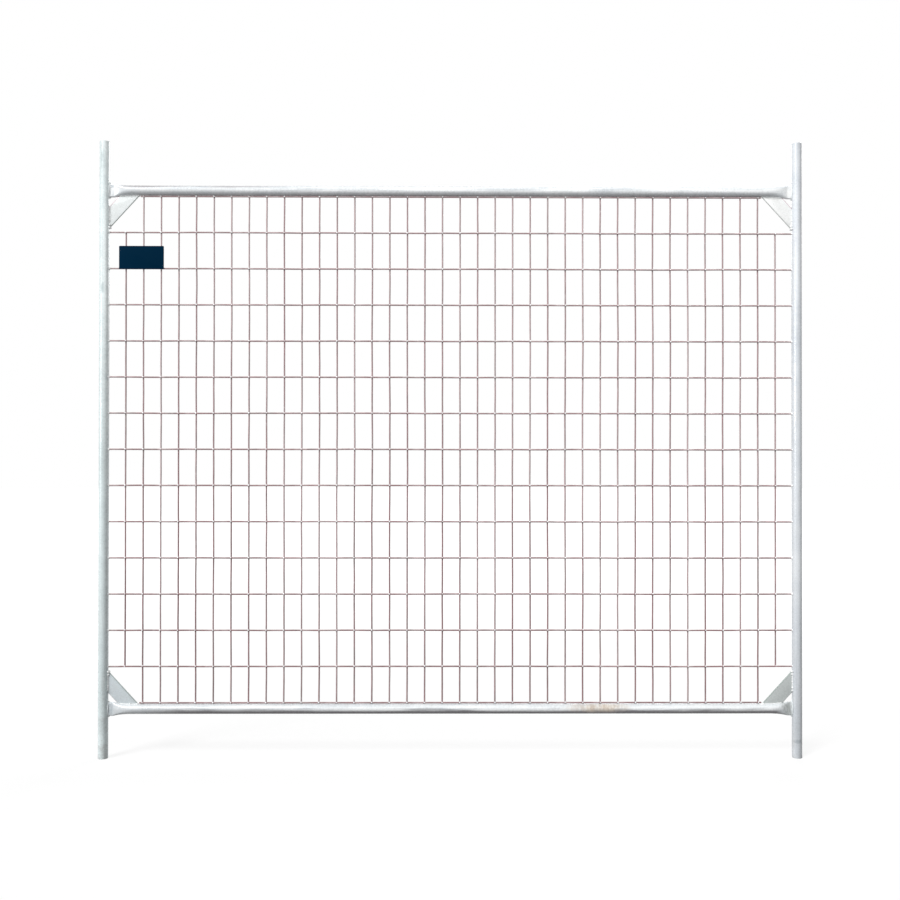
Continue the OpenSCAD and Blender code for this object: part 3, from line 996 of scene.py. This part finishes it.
sign = Shape()
plate_y = sign_low.y + SIGN_T / 2
sign_outline = rounded_rectangle(sign_low.x, sign_low.z, sign_high.x, sign_high.z, SIGN_CORNER)
sign.plate(sign_outline, lambda x, y, z: Vector((x, plate_y + y, z)), SIGN_T)
back_y = sign_low.y + SIGN_T
held_columns = [foot for foot, head in columns if sign_low.x < foot.x < sign_high.x]
for foot in held_columns:
    outline = clip_outline(foot.y - back_y)
    for lower_z in (sign_low.z + CLIP_INSET, sign_high.z - CLIP_INSET - CLIP_H):
        middle_z = lower_z + CLIP_H / 2
        sign.plate(outline, lambda x, z, y: Vector((foot.x + x, foot.y + y, middle_z + z)), CLIP_H)
make_piece("sign_panel", sign, sign_satin, ["sign_plate"], bevel=SIGN_EDGE_ROUND)


# Stage: a pale floor, a white surround and soft light


SURROUND = 0.36
FLOOR_R = 30.0
FLOOR_DROP = 0.3 * MM
FLOOR_ALBEDO = (0.16, 0.16, 0.16, 1.0)
FLOOR_GLOW_NEAR = 0.82
FLOOR_GLOW_FAR = 1.0
FLOOR_GLOW_REACH = (1.5, 6.0)
WHITE = (1.0, 1.0, 1.0, 1.0)


def seen_directly(nodes, links):
    """1 for rays that show the background itself: camera, glossy and transmission rays."""
    path = nodes.new("ShaderNodeLightPath")
    total = path.outputs["Is Camera Ray"]
    for name in ("Is Glossy Ray", "Is Transmission Ray"):
        add = nodes.new("ShaderNodeMath")
        add.operation = "MAXIMUM"
        links.new(total, add.inputs[0])
        links.new(path.outputs[name], add.inputs[1])
        total = add.outputs["Value"]
    return total


def make_world():
    """A surround that looks white and lights the part less than it shows."""
    world = bpy.data.worlds.new("white_surround")
    bpy.context.scene.world = world
    world.use_nodes = True
    nodes = world.node_tree.nodes
    links = world.node_tree.links
    level = nodes.new("ShaderNodeMapRange")
    level.inputs["To Min"].default_value = SURROUND
    links.new(seen_directly(nodes, links), level.inputs["Value"])
    background = nodes["Background"]
    background.inputs["Color"].default_value = WHITE
    links.new(level.outputs["Result"], background.inputs["Strength"])


def make_floor():
    """A round floor that glows to white away from the part and still takes its shadow."""
    mesh = bpy.data.meshes.new("floor")
    work = bmesh.new()
    bmesh.ops.create_circle(work, cap_ends=True, segments=128, radius=FLOOR_R)
    work.to_mesh(mesh)
    work.free()
    floor = bpy.data.objects.new("floor", mesh)
    floor.location.z = -FLOOR_DROP
    bpy.context.scene.collection.objects.link(floor)
    look = Shader("pale_floor")
    glow = look.remap(look.length(look.where), *FLOOR_GLOW_REACH, FLOOR_GLOW_NEAR, FLOOR_GLOW_FAR)
    shown = seen_directly(look.tree.nodes, look.tree.links)
    look.set(Base_Color=FLOOR_ALBEDO, Roughness=1.0, Specular_IOR_Level=0.0)
    look.set(Emission_Color=WHITE, Emission_Strength=look.math("MULTIPLY", glow, shown))
    mesh.materials.append(look.material)


def soft_light(name, place, aim, size, watts):
    """A rectangular lamp near the part, turned towards a point."""
    lamp = bpy.data.lights.new(name, "AREA")
    lamp.shape = "RECTANGLE"
    lamp.size, lamp.size_y = size
    lamp.energy = watts
    light = bpy.data.objects.new(name, lamp)
    light.location = place
    light.rotation_euler = (Vector(aim) - Vector(place)).to_track_quat("-Z", "Y").to_euler()
    bpy.context.scene.collection.objects.link(light)


def soft_sun(name, azimuth_deg, elevation_deg, spread_deg, strength):
    """A far, wide light. Azimuth 0 shines straight at the front, and below zero it comes from the left."""
    lamp = bpy.data.lights.new(name, "SUN")
    lamp.angle = math.radians(spread_deg)
    lamp.energy = strength
    light = bpy.data.objects.new(name, lamp)
    turn = Euler((math.radians(90 - elevation_deg), 0.0, math.radians(azimuth_deg)), "XYZ")
    light.rotation_euler = turn
    bpy.context.scene.collection.objects.link(light)


make_world()
make_floor()
soft_sun("key_high", azimuth_deg=-40.0, elevation_deg=42.0, spread_deg=20.0, strength=0.82 * math.pi)
soft_sun("sheen_low", azimuth_deg=-57.0, elevation_deg=6.0, spread_deg=14.0, strength=0.28 * math.pi)
soft_light("top_front", place=(0.0, -2.4, 2.5), aim=(0.0, 0.0, 1.75), size=(3.4, 0.8), watts=19.0)
soft_light("fill_back", place=(1.8, 3.8, 3.4), aim=(0.0, 0.0, 1.0), size=(3.0, 2.0), watts=110.0)


# Camera: almost square to the panel, at the photograph's viewing angle


LENS_MM = 40.0
SENSOR_MM = 36.0
CAMERA_DISTANCE = 3.4155
CAMERA_AIM = Vector((-3.9, 0.0, 1048.9)) * MM
CAMERA_YAW_DEG = -0.389
CAMERA_PITCH_DEG = 0.336
CAMERA_ROLL_DEG = 0.055

camera = bpy.data.cameras.new("camera")
camera.lens = LENS_MM
camera.sensor_width = SENSOR_MM
viewer = bpy.data.objects.new("camera", camera)
turn = Euler((math.radians(90 + CAMERA_PITCH_DEG), 0.0, math.radians(CAMERA_YAW_DEG)), "XYZ").to_matrix()
roll = Euler((0.0, 0.0, math.radians(CAMERA_ROLL_DEG))).to_matrix()
viewer.rotation_euler = (turn @ roll).to_euler()
viewer.location = CAMERA_AIM + turn @ Vector((0.0, 0.0, CAMERA_DISTANCE))
bpy.context.scene.collection.objects.link(viewer)
bpy.context.scene.camera = viewer
bpy.context.scene.view_settings.view_transform = "Standard"
